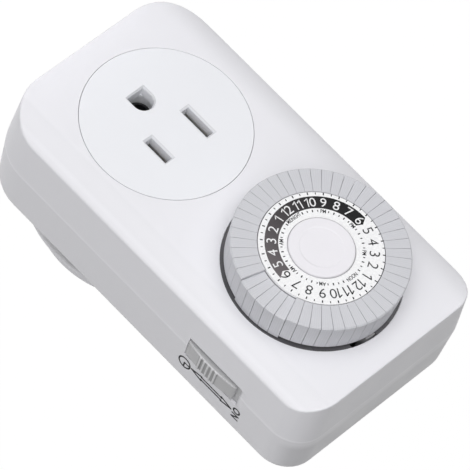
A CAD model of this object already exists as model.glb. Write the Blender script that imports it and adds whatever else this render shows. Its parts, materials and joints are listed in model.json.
"""Looks of a plug-in timer switch: casing, outlet, plug, dial with 48 trippers, mode slider and works."""

import json
import math

import bmesh
import bpy
from mathutils import Matrix, Quaternion, Vector


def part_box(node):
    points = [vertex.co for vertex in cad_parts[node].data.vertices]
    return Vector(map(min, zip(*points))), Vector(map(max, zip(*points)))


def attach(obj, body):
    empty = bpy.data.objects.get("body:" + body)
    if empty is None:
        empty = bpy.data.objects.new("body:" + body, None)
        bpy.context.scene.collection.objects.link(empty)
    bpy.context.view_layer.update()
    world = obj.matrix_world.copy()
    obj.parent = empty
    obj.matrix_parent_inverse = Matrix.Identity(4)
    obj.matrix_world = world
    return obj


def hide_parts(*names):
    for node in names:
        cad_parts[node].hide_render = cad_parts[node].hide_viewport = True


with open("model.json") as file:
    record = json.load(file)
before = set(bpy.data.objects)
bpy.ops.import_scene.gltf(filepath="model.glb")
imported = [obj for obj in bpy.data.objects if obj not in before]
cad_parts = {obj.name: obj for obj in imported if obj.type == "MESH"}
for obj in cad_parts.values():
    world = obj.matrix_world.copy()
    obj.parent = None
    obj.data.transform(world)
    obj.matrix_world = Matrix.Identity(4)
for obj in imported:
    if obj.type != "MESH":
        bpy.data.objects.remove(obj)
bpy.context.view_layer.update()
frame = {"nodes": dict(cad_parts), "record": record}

# ---------------------------------------------------------------------------------------------------------
# The casing: two shells of white ABS from a finely eroded mould, keyed together on a parting line round the
# sides. The mould leaves small radii on the outer edges, and the parting line shows as a thin pale line.

MM = 0.001
shell_low, shell_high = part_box("front_housing")
front_face = shell_low.y
half_width = shell_high.x
outlet_end = shell_low.z
dial_end = shell_high.z
dial_axis = (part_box("dial_base")[0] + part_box("dial_base")[1]) / 2
outlet_axis = (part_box("outlet_face")[0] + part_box("outlet_face")[1]) / 2
shell_white = (0.800, 0.797, 0.832)

# Depths behind the front face, and radii and corners in its plan, in millimetres
seam_depth = 13.9
flange_depth = 31.2
plug_depth = 39.6
insert_radius = 20.65
well_radius = 21.3
dial_end_corner = 8.2
outlet_end_corner = 12.5

seam = front_face + seam_depth * MM
shoulder = 27.25 * MM


class Signal:
    """A value on its way through one material. Arithmetic on it adds Math nodes."""

    def __init__(self, finish, socket):
        self.finish = finish
        self.socket = socket

    def math(self, operation, *others):
        return self.finish.node("Math", {"operation": operation}, dict(enumerate((self, *others))))

    def __add__(self, other):
        return self.math("ADD", other)

    def __sub__(self, other):
        return self.math("SUBTRACT", other)

    def __rsub__(self, other):
        return self.math("MULTIPLY_ADD", -1, other)

    def __mul__(self, other):
        return self.math("MULTIPLY", other)

    def ramp(self, start, end):
        """0 up to start, 1 from end on."""
        return self.finish.node("MapRange", {}, {"Value": self, "From Min": start, "From Max": end})

    def blend(self, low, high):
        """The colour low where the value is 0, and high where it is 1. Several sockets of a Mix node share
        a name, so they are called by number."""
        colours = {0: self, 6: (*low, 1), 7: (*high, 1)}
        return self.finish.node("Mix", {"data_type": "RGBA"}, colours, output=2)


class Finish:
    """One material on a Principled shader, with the nodes that vary it over the piece."""

    def __init__(self, name, **fixed):
        self.material = bpy.data.materials.new(name)
        self.material.use_nodes = True
        self.tree = self.material.node_tree
        self.shader = self.tree.nodes["Principled BSDF"]
        self.bumps = None
        for socket, value in fixed.items():
            self.shader.inputs[socket.replace("_", " ")].default_value = value

    def node(self, kind, settings=None, values=None, output=0):
        """Adds a node with its settings and the values of its inputs, and gives one of its outputs."""
        made = self.tree.nodes.new("ShaderNode" + kind)
        for key, value in (settings or {}).items():
            setattr(made, key, value)
        for key, value in (values or {}).items():
            if isinstance(value, Signal):
                self.tree.links.new(value.socket, made.inputs[key])
            else:
                made.inputs[key].default_value = value
        return Signal(self, made.outputs[output])

    def feed(self, socket, signal):
        self.tree.links.new(signal.socket, self.shader.inputs[socket])

    def noise(self, size, detail=2, stretch=(1, 1, 1)):
        """Noise between 0 and 1 whose features measure about size metres."""
        where = self.node("TexCoord", output="Object")
        place = self.node("Mapping", {}, {"Vector": where, "Scale": stretch})
        return self.node("TexNoise", {}, {"Vector": place, "Scale": 1 / size, "Detail": detail})

    def axis(self, letter):
        """A coordinate of the piece, in metres in the part's own frame."""
        where = self.node("TexCoord", output="Object")
        return self.node("SeparateXYZ", {}, {"Vector": where}, output=letter)

    def bump(self, height, strength, depth):
        """Raises the surface by up to depth metres, on top of the bumps that it has already."""
        values = {"Strength": strength, "Distance": depth, "Height": height}
        if self.bumps:
            values["Normal"] = self.bumps
        self.bumps = self.node("Bump", {}, values)
        self.feed("Normal", self.bumps)


def shade(colour, factor):
    return tuple(channel * factor for channel in colour)


def moulded(name, roughness, grain=0.3):
    """Moulded plastic: a wandering gloss, and the eroded grain of the mould."""
    finish = Finish(name)
    flow = finish.noise(6 * MM, 3, (1, 1, 0.35))
    finish.feed("Roughness", flow * 0.14 + (roughness - 0.07))
    finish.bump(finish.noise(0.28 * MM), grain, 0.02 * MM)
    return finish


def piece(name, skin, body, finish, smooth=32, stands_for=None):
    """Turns a finished bmesh into a piece that rides on a body."""
    mesh = bpy.data.meshes.new(name)
    skin.to_mesh(mesh)
    skin.free()
    mesh.materials.clear()
    mesh.materials.append(finish.material)
    mesh.shade_smooth()
    mesh.set_sharp_from_angle(angle=math.radians(smooth))
    made = bpy.data.objects.new(name, mesh)
    bpy.context.scene.collection.objects.link(made)
    facing = made.modifiers.new("Facing", "WEIGHTED_NORMAL")
    facing.keep_sharp = True
    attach(made, body)
    if stands_for:
        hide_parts(stands_for)


def dressed(name, node, body, finish, rounds=(), smooth=32, reshape=None):
    """A copy of a node's skin, merged and cleaned, that stands for the node. Each rule in rounds gives the
    radius of a rounding, its steps, the least turn of an edge in degrees, and which edges get it."""
    skin = bmesh.new()
    skin.from_mesh(frame["nodes"][node].data)
    bmesh.ops.remove_doubles(skin, verts=skin.verts, dist=0.002 * MM)
    bmesh.ops.dissolve_limit(skin, angle_limit=math.radians(0.4), verts=skin.verts, edges=skin.edges)
    if reshape:
        reshape(skin)
    for radius, steps, turn, wanted in rounds:
        chosen = [
            edge
            for edge in skin.edges
            if len(edge.link_faces) == 2
            and edge.calc_face_angle(0) > math.radians(turn)
            and wanted((edge.verts[0].co + edge.verts[1].co) / 2)
        ]
        bmesh.ops.bevel(
            skin, geom=chosen, offset=radius, offset_type="OFFSET", segments=steps, profile=0.5,
            affect="EDGES", clamp_overlap=False, material=-1,
        )
    piece(name, skin, body, finish, smooth, node)


def from_axis(spot, axis):
    """How far a spot is from an axis along y, in millimetres."""
    return math.hypot(spot.x - axis.x, spot.z - axis.z) / MM


def depth(spot):
    """How far a spot is behind the front face, in millimetres."""
    return (spot.y - front_face) / MM


def on_front_ring(spot, axis, radius):
    """Whether a spot is on the mouth of a round hole in the front face."""
    return depth(spot) < 0.2 and abs(from_axis(spot, axis) - radius) < 0.2


def inside_plan(spot):
    """How far a spot lies inside the outline of the front, in millimetres."""
    middle = (outlet_end + dial_end) / 2
    corner = (dial_end_corner if spot.z > middle else outlet_end_corner) * MM
    across = abs(spot.x) - (half_width - corner)
    along = abs(spot.z - middle) - ((dial_end - outlet_end) / 2 - corner)
    beyond = math.hypot(max(across, 0), max(along, 0)) + min(max(across, along), 0)
    return (corner - beyond) / MM


casing_white = moulded("casing_white", 0.34, grain=0.32)
casing_x, casing_y, casing_z = (casing_white.axis(letter) for letter in "XYZ")
near_seam = (casing_y - seam).math("ABSOLUTE").ramp(0.42 * MM, 0.26 * MM)
on_front = casing_y.ramp(front_face + 3 * MM, front_face + 1 * MM)
polish = (casing_x - shoulder).math("ABSOLUTE").ramp(1.0 * MM, 0.2 * MM) * 0.6
field = casing_x.ramp(22.2 * MM, 21.3 * MM) * 0.5
behind = casing_y.ramp(seam + 1.5 * MM, seam + 4 * MM)
at_end = casing_z.ramp(dial_end - 6 * MM, dial_end - 2.5 * MM)
lighter = near_seam + on_front * (polish + field)
casing_tone = lighter * 0.32 - behind * at_end * 0.68 + 0.68
casing_white.feed("Base Color", casing_tone.blend(shade(shell_white, 0.79), shade(shell_white, 1.10)))

dressed(
    "casing_front", "front_housing", "housing", casing_white,
    [
        (0.42 * MM, 4, 24, lambda s: inside_plan(s) < 1.7 and depth(s) < 9),
        (0.12 * MM, 2, 60, lambda s: on_front_ring(s, outlet_axis, insert_radius)),
        (0.16 * MM, 2, 60, lambda s: on_front_ring(s, dial_axis, well_radius)),
    ],
)
dressed(
    "casing_back", "rear_housing", "housing", casing_white,
    [
        (0.60 * MM, 3, 60, lambda s: depth(s) > plug_depth - 0.2 and from_axis(s, outlet_axis) > 22),
        (0.50 * MM, 3, 60, lambda s: abs(depth(s) - flange_depth) < 0.2 and from_axis(s, outlet_axis) > 25),
    ],
)

# ---------------------------------------------------------------------------------------------------------
# The round outlet face: a separate disc of a slightly cooler white, snapped in behind the front. The moulded
# chamfers of its slots look a little darker than the face, and a hairline gap shows round the disc.

outlet_tone = (0.855, 0.863, 0.897)
outlet_white = moulded("outlet_white", 0.34, grain=0.16)
sunk = outlet_white.axis("Y") - front_face
chamfer = sunk.ramp(0.01 * MM, 0.06 * MM) - sunk.ramp(0.46 * MM, 0.52 * MM)
outlet_white.feed("Base Color", chamfer.blend(outlet_tone, shade(outlet_tone, 0.81)))

dressed(
    "outlet_disc", "outlet_face", "housing", outlet_white,
    [(0.08 * MM, 2, 60, lambda s: depth(s) < 0.2 and from_axis(s, outlet_axis) > 20)],
)

# ---------------------------------------------------------------------------------------------------------
# The plug: two bevelled blades and a round ground pin of nickel-plated brass. They are drawn and tumbled, so
# fine lines run along them, and the plating is faintly stained.

plating = Finish("plating_nickel", Metallic=1.0)
drawn = plating.noise(0.12 * MM, 3, (1, 0.02, 1))
stain = plating.noise(3 * MM, 4)
plating.feed("Base Color", stain.blend((0.70, 0.68, 0.62), (0.80, 0.78, 0.73)))
plating.feed("Roughness", drawn * 0.16 + stain * 0.1 + 0.14)
plating.bump(drawn, 0.25, 0.01 * MM)

for node in ("live_blade", "neutral_blade"):
    dressed(
        "plug_" + node, node, "housing", plating,
        [(0.12 * MM, 2, 30, lambda s: s.y > 0.5 * MM)],
    )
dressed(
    "plug_ground_pin", "ground_pin", "housing", plating,
    [(0.5 * MM, 4, 20, lambda s: s.y > 18 * MM)],
)

# ---------------------------------------------------------------------------------------------------------
# Screws, arbors, spindle and springs: zinc-plated steel, bright where it is turned.


def paint(finish, *nodes):
    """Gives CAD nodes their finish."""
    for node in nodes:
        for place in frame["nodes"][node].material_slots:
            place.material = finish.material


zinc = Finish("zinc_steel", Metallic=1.0)
swirl = zinc.noise(0.3 * MM, 3)
zinc.feed("Base Color", zinc.noise(1.5 * MM, 3).blend((0.50, 0.51, 0.53), (0.68, 0.68, 0.67)))
zinc.feed("Roughness", swirl * 0.18 + 0.22)
zinc.bump(swirl, 0.2, 0.01 * MM)
paint(
    zinc, "housing_screws", "plate_screws", "gear_arbor", "dial_spindle", "clutch_washer", "lever_spring",
    "detent_spring",
)

# ---------------------------------------------------------------------------------------------------------
# Contacts, strips and the contact leaf: brass stamped from rolled sheet, lightly tarnished. The sleeve of the
# ground contact is blackened. The motor's pinion is cut from the same brass.

brass = Finish("rolled_brass", Metallic=1.0)
tarnish = brass.noise(2.2 * MM, 4)
rolled = brass.noise(0.15 * MM, 2, (1, 1, 0.03))
brass.feed("Base Color", tarnish.blend((0.62, 0.42, 0.16), (0.86, 0.66, 0.32)))
brass.feed("Roughness", tarnish * 0.15 + rolled * 0.12 + 0.18)
brass.bump(rolled, 0.2, 0.01 * MM)
paint(
    brass, "live_contact", "neutral_contact", "live_feed_strip", "switched_strip", "contact_leaf",
    "motor_pinion",
)


def clouded(name, colour, roughness, grain=0.3, mottle=0.03):
    """A moulded finish with a faint cloud in its colour."""
    finish = moulded(name, roughness, grain)
    cloud = finish.noise(22 * MM, 3)
    finish.feed("Base Color", cloud.blend(shade(colour, 1 - mottle), shade(colour, 1 + mottle / 2)))
    return finish


paint(clouded("blackened_brass", (0.018, 0.018, 0.020), 0.35, mottle=0.2), "ground_contact")

# ---------------------------------------------------------------------------------------------------------
# Insulating blocks behind the outlet: a pale carrier for the contacts, and a brown phenolic switch block
# whose wood flour shows as fine specks.

paint(clouded("carrier_white", (0.84, 0.85, 0.87), 0.5, grain=0.4), "contact_carrier")

phenolic = Finish("phenolic_brown")
flour = phenolic.noise(0.4 * MM, 3)
phenolic.feed("Base Color", flour.blend((0.10, 0.040, 0.018), (0.24, 0.11, 0.05)))
phenolic.feed("Roughness", flour * 0.2 + 0.35)
phenolic.bump(flour, 0.2, 0.02 * MM)
paint(phenolic, "switch_block")

# ---------------------------------------------------------------------------------------------------------
# Mechanism plate, gears and trip lever: moulded acetal and glass-filled nylon, left in their natural tones.

paint(clouded("plate_nylon", (0.60, 0.60, 0.57), 0.48, grain=0.5, mottle=0.08), "mechanism_plate")
paint(clouded("gear_acetal", (0.78, 0.75, 0.66), 0.38, grain=0.2), "dial_gear", "reduction_gear")
paint(clouded("lever_acetal", (0.46, 0.46, 0.47), 0.40, grain=0.25), "trip_lever")

# ---------------------------------------------------------------------------------------------------------
# The motor: a deep-drawn steel can with rings from the draw, and two leads in red insulation.

can = Finish("motor_can", Metallic=1.0)
scuff = can.noise(4 * MM, 4)
rings = can.noise(0.2 * MM, 2, (0.04, 1, 0.04))
can.feed("Base Color", scuff.blend((0.52, 0.52, 0.52), (0.70, 0.70, 0.69)))
can.feed("Roughness", scuff * 0.15 + rings * 0.15 + 0.2)
can.bump(rings, 0.25, 0.01 * MM)
paint(can, "motor_case")
paint(clouded("lead_red", (0.50, 0.035, 0.03), 0.45, grain=0.2, mottle=0.08), "motor_leads")

# ---------------------------------------------------------------------------------------------------------
# The base ring: polished dark grey plastic at the bottom of the well, seen as a crescent under the dial.

dressed(
    "base_ring", "dial_base", "housing",
    clouded("base_black", (0.14, 0.138, 0.148), 0.26, grain=0.08, mottle=0.1),
    [(0.10 * MM, 2, 60, lambda s: depth(s) < 0.7)],
)

# ---------------------------------------------------------------------------------------------------------
# The trippers: 48 segments that slide on a drum, all of light grey plastic. Each has fine moulded lines along
# its top and softened edges, and the flash on its flanks leaves a hairline to the next.

ring_grey = (0.612, 0.616, 0.650)
lines_per_radian = 240
flash = 0.03 * MM
least_flank = 8 * MM**2


def lined(name, colour, roughness):
    """Grey plastic with fine lines that all point at the dial's axis."""
    finish = Finish(name)
    turned = (finish.axis("Z") - dial_axis.z).math("ARCTAN2", finish.axis("X"))
    lines = (turned * lines_per_radian).math("SINE") * 0.5 + 0.5
    cloud = finish.noise(9 * MM, 3)
    tone = lines * 0.6 + cloud * 0.4
    finish.feed("Base Color", tone.blend(shade(colour, 0.955), shade(colour, 1.03)))
    finish.feed("Roughness", cloud * 0.12 + (roughness - 0.06))
    finish.bump(lines, 0.35, 0.012 * MM)
    finish.bump(finish.noise(0.25 * MM), 0.25, 0.02 * MM)
    return finish


def with_flash(skin):
    """Lets the flanks of a segment stand out by the flash."""
    for face in skin.faces:
        out = ((face.calc_center_median() - dial_axis) * Vector((1, 0, 1))).normalized()
        is_flank = abs(face.normal @ out) + abs(face.normal.y) < 0.1
        if is_flank and face.calc_area() > least_flank:
            bmesh.ops.translate(skin, verts=face.verts, vec=face.normal * flash)


tripper_grey = lined("tripper_grey", ring_grey, 0.42)
for body, nodes in frame["record"]["behaviour"]["bodies"].items():
    if body.startswith("tripper"):
        dressed(
            body.replace("trippers_hour", "tripper_pair").replace("tripper_half", "tripper_single"),
            nodes[0], body, tripper_grey,
            [(0.03 * MM, 2, 50, lambda s: from_axis(s, dial_axis) > 14.5)], reshape=with_flash,
        )
paint(clouded("drum_grey", shade(ring_grey, 0.8), 0.45), "dial_wheel")

# ---------------------------------------------------------------------------------------------------------
# The scale disc: white plastic foil printed with the 24 hours. The night hours are white in a dark band that
# ends in a chevron at six in the morning and six in the evening. All ink is a hair thick.

scale_white = moulded("scale_white", 0.5, grain=0.5)
speckle = scale_white.noise(0.4 * MM, 3) * 2 - 0.5
scale_white.feed("Base Color", speckle.blend((0.84, 0.84, 0.86), (1.0, 1.0, 1.0)))
paint(scale_white, "scale_disc")

INK = 0.02 * MM
CAPITALS = 0.7  # Height of the font's capitals, as a share of its size
scale_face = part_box("scale_disc")[0].y
print_axis = dial_axis + Vector((-0.33, 0, 0.08)) * MM
midnight = 269.6  # Degrees round the dial
hour_turn = 15
outer_ticks = 14.25 * MM  # Radii of the rings of print
inner_ticks = 9.65 * MM
day_ring = 12.05 * MM
night_ring = 11.93 * MM
word_ring = 9.62 * MM


def on_dial(angle, radius, lift=0.0):
    """The frame of a mark on the dial: x to its right, y away from the print's axis, z out of the front."""
    out = Vector((math.cos(math.radians(angle)), 0, math.sin(math.radians(angle))))
    right = Vector((out.z, 0, -out.x))
    spot = Vector((print_axis.x, scale_face - lift, print_axis.z)) + out * radius
    turn = Matrix((right, out, Vector((0, -1, 0)))).transposed().to_4x4()
    return Matrix.Translation(spot) @ turn


def lettering(ink, words, height, frame_of_mark, narrow=1.0, weight=0.0):
    """Adds flat letters to a bmesh, centred on the frame's origin and a hair proud of it."""
    curve = bpy.data.curves.new("letters", "FONT")
    curve.body = words
    curve.size = height / CAPITALS
    curve.offset = weight
    curve.resolution_u = 4
    curve.extrude = INK / 2
    holder = bpy.data.objects.new("letters", curve)
    bpy.context.scene.collection.objects.link(holder)
    bpy.context.view_layer.update()
    shape = bpy.data.meshes.new_from_object(holder.evaluated_get(bpy.context.evaluated_depsgraph_get()))
    bpy.data.objects.remove(holder)
    bpy.data.curves.remove(curve)
    spots = [vertex.co for vertex in shape.vertices]
    middle = Vector([(min(s[i] for s in spots) + max(s[i] for s in spots)) / 2 for i in range(3)])
    centre = Matrix.Translation((-middle.x, -middle.y, INK / 2 - middle.z))
    shape.transform(frame_of_mark @ Matrix.Diagonal((narrow, 1, 1, 1)) @ centre)
    ink.from_mesh(shape)
    bpy.data.meshes.remove(shape)


def bar_mark(ink, length, width, frame_of_mark):
    """Adds a bar along the frame's y, which rests on the frame's origin."""
    size = Matrix.Diagonal((width, length, INK, 1))
    bmesh.ops.create_cube(ink, size=1, matrix=frame_of_mark @ Matrix.Translation((0, 0, INK / 2)) @ size)


def numeral(ink, label, height, frame_of_mark, weight):
    """Sets a number in tight figures. Each 1 is a stem with a short flag. Widths are shares of the height."""
    gap = 0.1
    widths = [0.42 if figure == "1" else 0.62 for figure in label]
    edge = -(sum(widths) + gap * (len(label) - 1)) / 2
    for figure, width in zip(label, widths):
        place = frame_of_mark @ Matrix.Translation(((edge + width / 2) * height, 0, 0))
        if figure == "1":
            stem = place @ Matrix.Translation((0.13 * height, 0, 0))
            bar_mark(ink, height, 0.115 * height, stem)
            flag = Matrix.Translation((-0.15 * height, 0.34 * height, 0)) @ Matrix.Rotation(-0.9, 4, "Z")
            bar_mark(ink, 0.40 * height, 0.11 * height, stem @ flag)
        else:
            lettering(ink, figure, height, place, 1.04, weight)
        edge += width + gap


def raise_ink(ink, out):
    """Gives flat ink its thickness, in the direction out."""
    grown = bmesh.ops.extrude_face_region(ink, geom=ink.faces[:])
    raised = [part for part in grown["geom"] if isinstance(part, bmesh.types.BMVert)]
    bmesh.ops.translate(ink, verts=raised, vec=Vector(out) * INK)
    bmesh.ops.recalc_face_normals(ink, faces=ink.faces)


def printed(name, colour=None, roughness=0.5):
    """Screen-printed ink: dull, with the grain of the foil under it, and slightly uneven in its colour."""
    finish = Finish(name, Specular_IOR_Level=0.12)
    wet = finish.noise(0.6 * MM, 3)
    if colour:
        finish.feed("Base Color", wet.blend(shade(colour, 0.85), shade(colour, 1.1)))
    finish.feed("Roughness", wet * 0.2 + (roughness - 0.1))
    finish.bump(wet, 0.15, 0.01 * MM)
    return finish


ink_black = printed("ink_black", (0.020, 0.020, 0.023))
ink_white = printed("ink_white", (0.88, 0.88, 0.89))
ink_night = printed("ink_night", roughness=0.42)  # Laid thinner towards the switch's side
thinning = ink_night.axis("X").ramp(-13 * MM, 15 * MM).math("POWER", 1.6)
ink_night.feed("Base Color", thinning.blend((0.012, 0.012, 0.013), (0.165, 0.148, 0.156)))

band = bmesh.new()
chevron = [
    band.verts.new(on_dial(angle, radius * MM, 0.001 * MM).translation)
    for angle, radius in ((357.4, 10.35), (353.9, 11.93), (358.9, 13.52))
]
edges = [band.edges.new(pair) for pair in zip(chevron, chevron[1:])]
bmesh.ops.spin(
    band, geom=[*chevron, *edges], cent=print_axis, axis=(0, 1, 0), angle=math.radians(180.6), steps=90,
    use_merge=False,
)
raise_ink(band, (0, -1, 0))
piece("night_band", band, "dial", ink_night)

day, night, ticks, words = (bmesh.new() for _ in range(4))
for hour in range(24):
    angle = midnight + hour_turn * hour
    half_past = angle + hour_turn / 2
    label = str((hour - 1) % 12 + 1)
    if 6 <= hour < 18:
        numeral(day, label, 2.5 * MM, on_dial(angle, day_ring), -0.02 * MM)
    else:
        numeral(night, label, 2.32 * MM, on_dial(angle, night_ring, INK), 0)
    bar_mark(ticks, 0.66 * MM, 0.28 * MM, on_dial(angle, outer_ticks))
    bar_mark(ticks, 0.50 * MM, 0.22 * MM, on_dial(half_past, outer_ticks))
    if hour % 3:
        bar_mark(ticks, 0.62 * MM, 0.28 * MM, on_dial(angle, inner_ticks))
    if hour not in (0, 23, 11, 12):
        bar_mark(ticks, 0.50 * MM, 0.22 * MM, on_dial(half_past, inner_ticks))
for hour, word, narrow in (
    (0, "MIDNIGHT", 0.62), (3, "AM", 0.8), (6, "AM", 0.8), (9, "AM", 0.8),
    (12, "NOON", 0.72), (15, "PM", 0.8), (18, "PM", 0.8), (21, "PM", 0.8),
):
    lettering(words, word, 0.95 * MM, on_dial(midnight + hour_turn * hour, word_ring), narrow, 0.02 * MM)
piece("hours_of_day", day, "dial", ink_black)
piece("hours_of_night", night, "dial", ink_white)
piece("hour_ticks", ticks, "dial", ink_black)
piece("day_words", words, "dial", ink_black)

# ---------------------------------------------------------------------------------------------------------
# The knob: a smooth white button in the middle of the disc, with a shallow dish in its face. Its foot is a
# little darker, where it meets the disc.


def distance(across, along):
    """How far a place is from where both of its signals are 0."""
    return (across * across + along * along).math("SQRT")


knob_tone = (0.86, 0.845, 0.885)
knob_white = moulded("knob_white", 0.36, grain=0.12)
off_axis = distance(knob_white.axis("X"), knob_white.axis("Z") - dial_axis.z)
knob_white.bump(off_axis.ramp(5.1 * MM, 5.5 * MM), 1.0, 0.07 * MM)
near_disc = knob_white.axis("Y").ramp(scale_face - 0.40 * MM, scale_face - 0.15 * MM)
foot = off_axis.ramp(7.5 * MM, 7.7 * MM) * near_disc
knob_white.feed("Base Color", foot.blend(knob_tone, shade(knob_tone, 0.68)))
dressed("setting_knob", "dial_knob", "dial", knob_white, smooth=40)

# ---------------------------------------------------------------------------------------------------------
# The mode slider: mid-grey plastic, an arched thumb piece with five ribs on a plate behind the window. The
# crests of the ribs and the top of the arch's wall are paler, and the grooves are darker.

slider_tone = (0.50, 0.50, 0.51)
slider_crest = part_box("mode_slider")[1].x
slider_grey = moulded("slider_grey", 0.40, grain=0.35)
rise = slider_grey.axis("X") - half_width
off_middle = slider_grey.axis("Z") - dial_axis.z
on_top = slider_grey.axis("Y").ramp(front_face + 12.35 * MM, front_face + 12.45 * MM)
ribbed = off_middle.math("ABSOLUTE").ramp(3.2 * MM, 2.9 * MM)
groove = ribbed * rise.ramp(0.85 * MM, 0.75 * MM)
crest = ribbed * rise.ramp(0.80 * MM, 0.95 * MM)
beyond_arch = distance(rise + 39.2 * MM, off_middle - 0.55 * MM).ramp(39.6 * MM, 39.75 * MM)
wear = on_top * (crest * 0.4 - groove * 0.5) + (1 - on_top) * beyond_arch * 0.5 + 0.5
slider_grey.feed("Base Color", wear.blend(shade(slider_tone, 0.62), shade(slider_tone, 1.38)))
dressed(
    "mode_slide_button", "mode_slider", "mode_slider", slider_grey,
    [
        (0.18 * MM, 2, 30, lambda s: s.x > slider_crest - 0.02 * MM),
        (0.09 * MM, 2, 60, lambda s: half_width - 1.05 * MM < s.x < half_width - 0.6 * MM),
    ],
)

# ---------------------------------------------------------------------------------------------------------
# Marks printed on the side: a clock for timer mode, a double arrow along the slider's travel, and ON.

lean = math.atan2(0.65, 12.4)
side_spot = Vector((half_width + 0.02 * MM, seam, 0))


def on_side(depth_mm, height_mm):
    """The frame of a mark on the leaning side: x towards the back, y up, z outwards."""
    back = Vector((-math.sin(lean), math.cos(lean), 0))
    from_seam = (depth_mm - seam_depth) * MM / math.cos(lean)
    spot = side_spot + back * from_seam + Vector((0, 0, height_mm * MM))
    turn = Matrix((back, Vector((0, 0, 1)), Vector((math.cos(lean), math.sin(lean), 0)))).transposed()
    return Matrix.Translation(spot) @ turn.to_4x4()


clock = bmesh.new()
centre = on_side(20.95, 38.2)
rim = [clock.verts.new(centre @ Vector((0, r * MM, 0))) for r in (1.53, 1.97)]
bmesh.ops.spin(
    clock, geom=[*rim, clock.edges.new(rim)], cent=centre.translation, axis=centre.col[2].to_3d(),
    angle=math.tau, steps=48, use_merge=True,
)
bmesh.ops.remove_doubles(clock, verts=clock.verts, dist=0.001 * MM)
raise_ink(clock, (1, 0, 0))
bar_mark(clock, 1.90 * MM, 0.40 * MM, centre @ Matrix.Translation((0, 0.88 * MM, 0)))
bar_mark(clock, 0.42 * MM, 1.70 * MM, centre @ Matrix.Translation((0.76 * MM, 0, 0)))
piece("clock_mark", clock, "housing", ink_black)

arrow = bmesh.new()
middle = on_side(20.75, 47.0)
outline = [(0, 6.6), (0.85, 3.2), (0.52, 3.45), (0.52, -3.45), (0.85, -3.2), (0, -6.6)]
outline += [(-x, z) for x, z in reversed(outline[1:5])]
for (x0, z0), (x1, z1) in zip(outline, outline[1:] + outline[:1]):
    spot = Matrix.Translation(((x0 + x1) / 2 * MM, (z0 + z1) / 2 * MM, 0))
    turn = Matrix.Rotation(math.atan2(x0 - x1, z1 - z0), 4, "Z")
    bar_mark(arrow, (math.hypot(x1 - x0, z1 - z0) + 0.2) * MM, 0.46 * MM, middle @ spot @ turn)
piece("travel_arrow", arrow, "housing", ink_black)

on_words = bmesh.new()
for letter, depth_mm in (("O", 19.75), ("N", 22.15)):
    lettering(on_words, letter, 2.15 * MM, on_side(depth_mm, 55.15), 0.9, 0.09 * MM)
piece("always_on_mark", on_words, "housing", ink_black)

# ---------------------------------------------------------------------------------------------------------
# The studio: a pale floor under the outlet end, a white surround, a broad soft lamp straight in front, and a
# weaker one from above on the side of the mode switch.

stage_white = Finish("studio_floor")
camera_ray, glossy_ray, clear_ray = (
    stage_white.node("LightPath", output=f"Is {kind} Ray") for kind in ("Camera", "Glossy", "Transmission")
)
seen = (camera_ray + glossy_ray + clear_ray).math("MINIMUM", 1)
matt = stage_white.node("BsdfDiffuse", {}, {"Color": (0.9, 0.9, 0.9, 1)})
glow = stage_white.node("Emission", {}, {"Color": (1, 1, 1, 1), "Strength": 1.06})
lit = stage_white.node("MixShader", {}, {0: seen * 0.93, 1: matt, 2: glow})
stage_white.tree.links.new(lit.socket, stage_white.tree.nodes["Material Output"].inputs["Surface"])
stage_white.tree.nodes.remove(stage_white.shader)

floor = bmesh.new()
bmesh.ops.create_grid(
    floor, x_segments=8, y_segments=8, size=6, matrix=Matrix.Translation((0, 0, outlet_end))
)
floor_mesh = bpy.data.meshes.new("floor")
floor.to_mesh(floor_mesh)
floor.free()
floor_mesh.materials.append(stage_white.material)
floor_object = bpy.data.objects.new("floor", floor_mesh)
floor_object.visible_shadow = False
bpy.context.scene.collection.objects.link(floor_object)

surround_light = 0.175  # On the timer; what looks at the surround itself sees it at 1
world = bpy.data.worlds.new("surround")
bpy.context.scene.world = world
world.use_nodes = True
sky = world.node_tree
background = sky.nodes["Background"]
background.inputs["Color"].default_value = (1, 1, 1, 1)
path = sky.nodes.new("ShaderNodeLightPath")
either = path.outputs["Is Camera Ray"]
for other in ("Is Glossy Ray", "Is Transmission Ray"):
    add = sky.nodes.new("ShaderNodeMath")
    add.operation = "MAXIMUM"
    sky.links.new(either, add.inputs[0])
    sky.links.new(path.outputs[other], add.inputs[1])
    either = add.outputs[0]
level = sky.nodes.new("ShaderNodeMapRange")
level.inputs["To Min"].default_value = surround_light
level.inputs["To Max"].default_value = 1.0
sky.links.new(either, level.inputs["Value"])
sky.links.new(level.outputs["Result"], background.inputs["Strength"])


def lamp(name, place, power):
    """A broad square lamp that faces the middle of the timer."""
    light = bpy.data.lights.new(name, "AREA")
    light.size = 1.1
    light.energy = power
    made = bpy.data.objects.new(name, light)
    made.location = place
    made.rotation_mode = "QUATERNION"
    made.rotation_quaternion = (Vector((0, -0.02, 0.021)) - Vector(place)).to_track_quat("-Z", "Y")
    made.visible_camera = False
    bpy.context.scene.collection.objects.link(made)


lamp("front_lamp", (0.03, -1.17, 0.055), 9.05)
lamp("side_lamp", (0.90, -0.70, 0.24), 6.3)

# ---------------------------------------------------------------------------------------------------------
# The camera: a long lens from the front and the switch's side, rolled so that the outlet is at the top.

bpy.context.scene.view_settings.view_transform = "Standard"
eye = Vector((0.56916, -0.98277, 0.30662))
aim = Vector((0.002206, -0.029603, 0.024278))
roll = Quaternion((0, 0, 1), math.radians(135.045))
lens = bpy.data.cameras.new("camera")
lens.lens = 381.77
lens.sensor_width = 36
lens.clip_end = 20
camera = bpy.data.objects.new("camera", lens)
camera.location = eye
camera.rotation_mode = "QUATERNION"
camera.rotation_quaternion = (aim - eye).to_track_quat("-Z", "Y") @ roll
bpy.context.scene.collection.objects.link(camera)
bpy.context.scene.camera = camera
